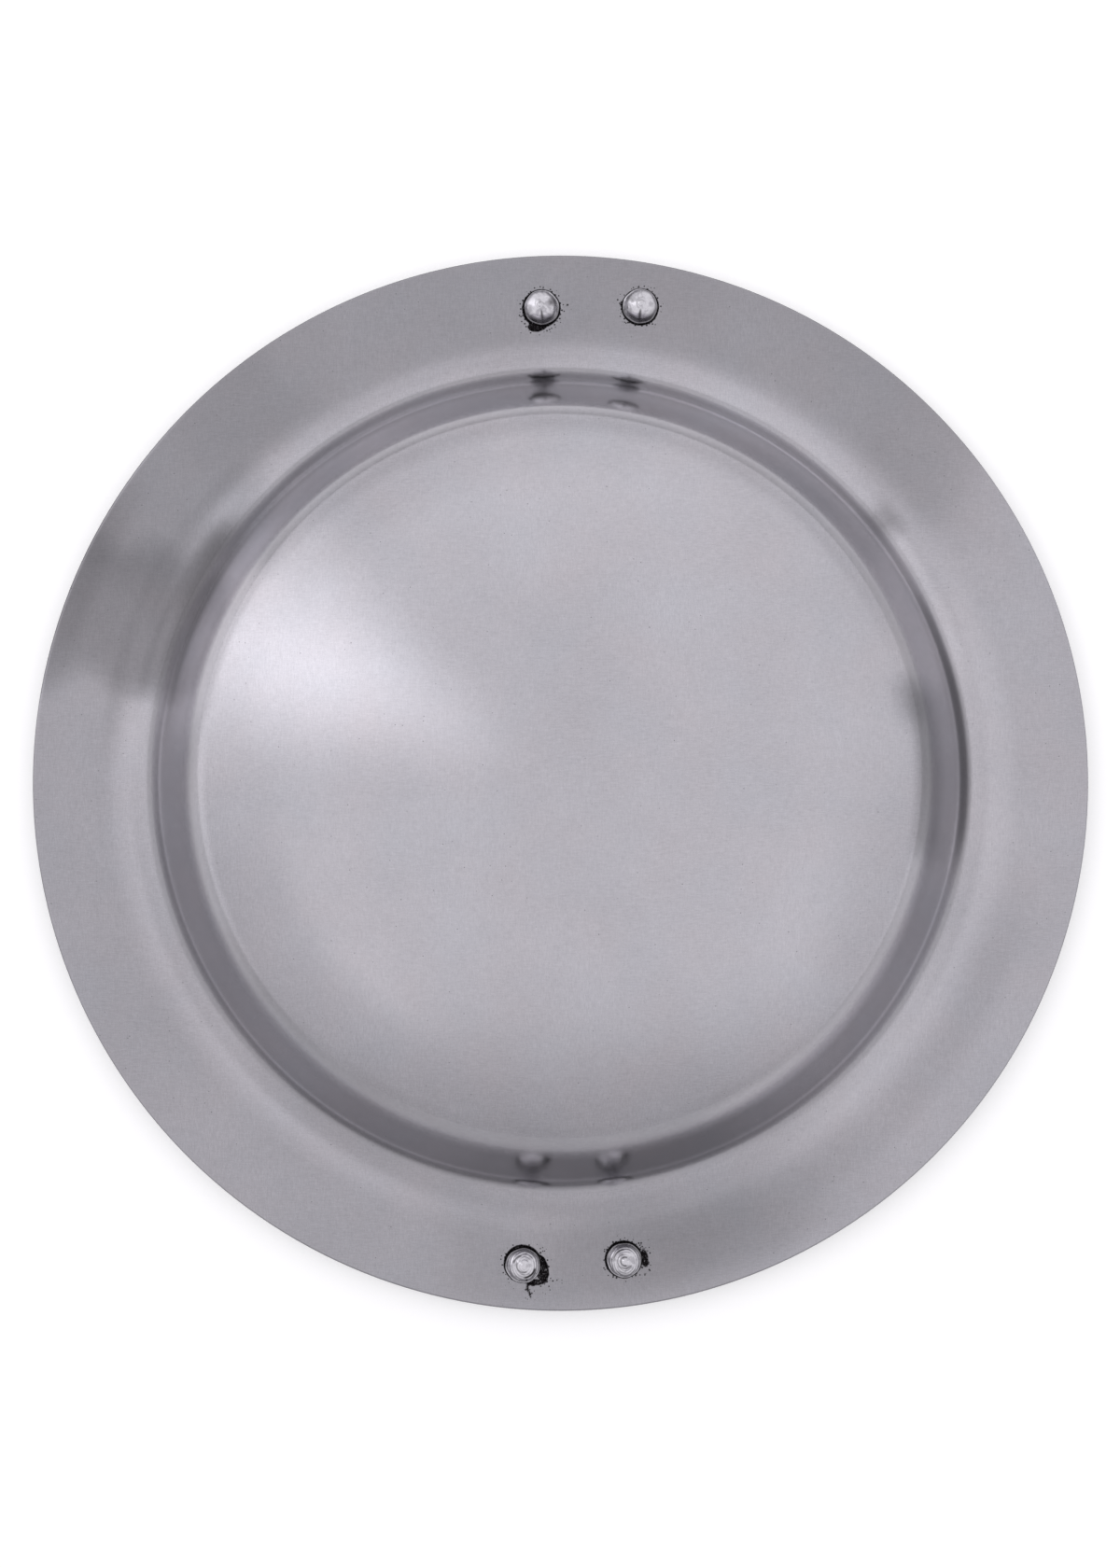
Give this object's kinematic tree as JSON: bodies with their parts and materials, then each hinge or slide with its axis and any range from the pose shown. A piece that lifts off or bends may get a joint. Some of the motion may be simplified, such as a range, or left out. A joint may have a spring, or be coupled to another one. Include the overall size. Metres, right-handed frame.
{
  "type": "buckler shield",
  "caption": "Round sheet-steel buckler with a flat flange, a smooth hollow domed boss and a riveted steel strap grip across its open back.",
  "frame": {"origin": "on the surface the shield lies on, under the middle of its rim", "axes": "+Z out of the front of the boss, +Y along the grip towards the upper pair of rivets, +X to the right as seen from the front"},
  "size_m": [0.3, 0.3, 0.068],
  "materials": {
    "plate_steel": "bare sheet steel, finely sanded to a satin gloss",
    "grip_steel": "bare strap steel, dull satin",
    "rivet_steel": "bright steel, hammered"
  },
  "bodies": {
    "root": {"plate": "plate_steel", "grip": "grip_steel", "rivet_top_left": "rivet_steel", "rivet_top_right": "rivet_steel", "rivet_bottom_left": "rivet_steel", "rivet_bottom_right": "rivet_steel"}
  },
  "joints": []
}
